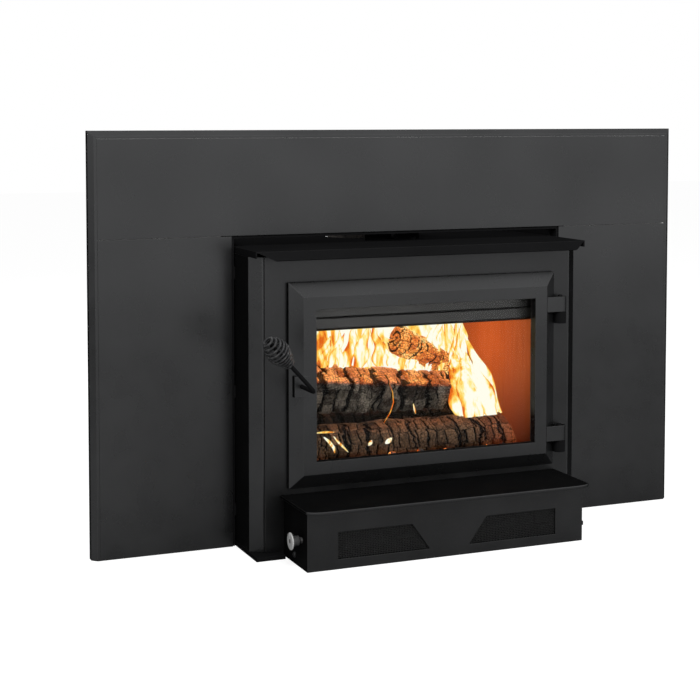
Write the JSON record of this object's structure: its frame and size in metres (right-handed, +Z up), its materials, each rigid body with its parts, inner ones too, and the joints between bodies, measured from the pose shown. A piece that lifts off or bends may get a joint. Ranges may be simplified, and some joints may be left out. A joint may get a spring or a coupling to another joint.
{
  "type": "fireplace insert",
  "caption": "Wood-burning fireplace insert with a steel faceplate, glazed swinging door with coil handle, brick-lined firebox, flue collar and front blower.",
  "frame": {"origin": "on the hearth, in the plane of the faceplate's front, midway between the faceplate's ends", "axes": "+X along the faceplate to the right as seen from the room, +Y into the fireplace, +Z up"},
  "size_m": [1.27, 0.5855, 0.806],
  "materials": {
    "charcoal_paint": "matte stove paint with a fine tooth",
    "dark_paint": "matte black",
    "jacket_steel": "galvanised, dull",
    "firebox_steel": "heat-darkened steel",
    "firebrick": "porous fired clay, sooted",
    "fibre_board": "soft fibrous board",
    "bright_steel": "satin",
    "log_wood": "charred and ashy",
    "ceramic_glass": "clear polished",
    "gasket_rope": "braided fibre",
    "spring_steel": "blackened wire with a low gloss",
    "black_mesh": "satin black wire",
    "black_plastic": "matte"
  },
  "bodies": {
    "root": {"faceplate_top_panel": "charcoal_paint", "faceplate_left_panel": "charcoal_paint", "faceplate_right_panel": "charcoal_paint", "trim_left": "charcoal_paint", "trim_top": "charcoal_paint", "trim_right": "charcoal_paint", "opening_frame": "dark_paint", "base_plate": "dark_paint", "jacket_left": "charcoal_paint", "jacket_right": "charcoal_paint", "jacket_rear": "jacket_steel", "jacket_top": "dark_paint", "cornice": "charcoal_paint", "front_plate": "charcoal_paint", "firebox_floor": "firebox_steel", "firebox_left_wall": "firebox_steel", "firebox_right_wall": "firebox_steel", "firebox_rear_wall": "firebox_steel", "firebox_roof": "firebox_steel", "flue_collar": "firebox_steel", "brick_floor": "firebrick", "brick_left": "firebrick", "brick_right": "firebrick", "brick_rear": "firebrick", "air_tube_front": "firebox_steel", "air_tube_middle": "firebox_steel", "air_tube_rear": "firebox_steel", "baffle_board": "fibre_board", "airwash_deflector": "firebox_steel", "log_front": "log_wood", "log_upper": "log_wood", "log_rear": "log_wood", "hinge_pin_upper": "dark_paint", "hinge_pin_lower": "dark_paint", "hinge_bracket_upper": "dark_paint", "hinge_bracket_lower": "dark_paint", "latch_keeper": "firebox_steel", "blower_housing": "charcoal_paint", "shelf_plate": "charcoal_paint", "grille_left": "black_mesh", "grille_right": "black_mesh", "blower_motor": "jacket_steel", "knob_nut": "bright_steel", "speed_controller": "black_plastic", "cord_gland": "black_plastic"},
    "door": {"door_frame": "charcoal_paint", "door_glass": "ceramic_glass", "glass_gasket": "gasket_rope", "glass_retainer": "firebox_steel", "door_gasket": "gasket_rope", "hinge_strap_upper": "charcoal_paint", "hinge_strap_lower": "charcoal_paint", "handle_boss": "charcoal_paint"},
    "handle": {"handle_rod": "spring_steel", "handle_grip_coil": "spring_steel", "latch_pawl": "firebox_steel"},
    "fan": {"fan_rotor": "jacket_steel"},
    "knob": {"speed_knob": "bright_steel"},
    "air_control": {"air_control_rod": "bright_steel", "air_shutter": "jacket_steel"}
  },
  "joints": [
    {"name": "door_swing", "type": "hinge", "parent": "root", "child": "door", "pos_m": [0.301, -0.108, 0.3243], "axis": [0, 0, 1], "range_deg": [0, 110]},
    {"name": "handle_turn", "type": "hinge", "parent": "door", "child": "handle", "pos_m": [-0.261, -0.188, 0.325], "axis": [0, -1, 0], "range_deg": [-20, 75]},
    {"name": "fan_spin", "type": "hinge", "parent": "root", "child": "fan", "pos_m": [0, -0.156, 0.054], "axis": [1, 0, 0], "continuous": true},
    {"name": "knob_turn", "type": "hinge", "parent": "root", "child": "knob", "pos_m": [-0.3, -0.192, 0.054], "axis": [-1, 0, 0], "range_deg": [-40, 240]},
    {"name": "air_slide", "type": "slide", "parent": "root", "child": "air_control", "axis": [0, -1, 0], "range_m": [0, 0.036]}
  ]
}
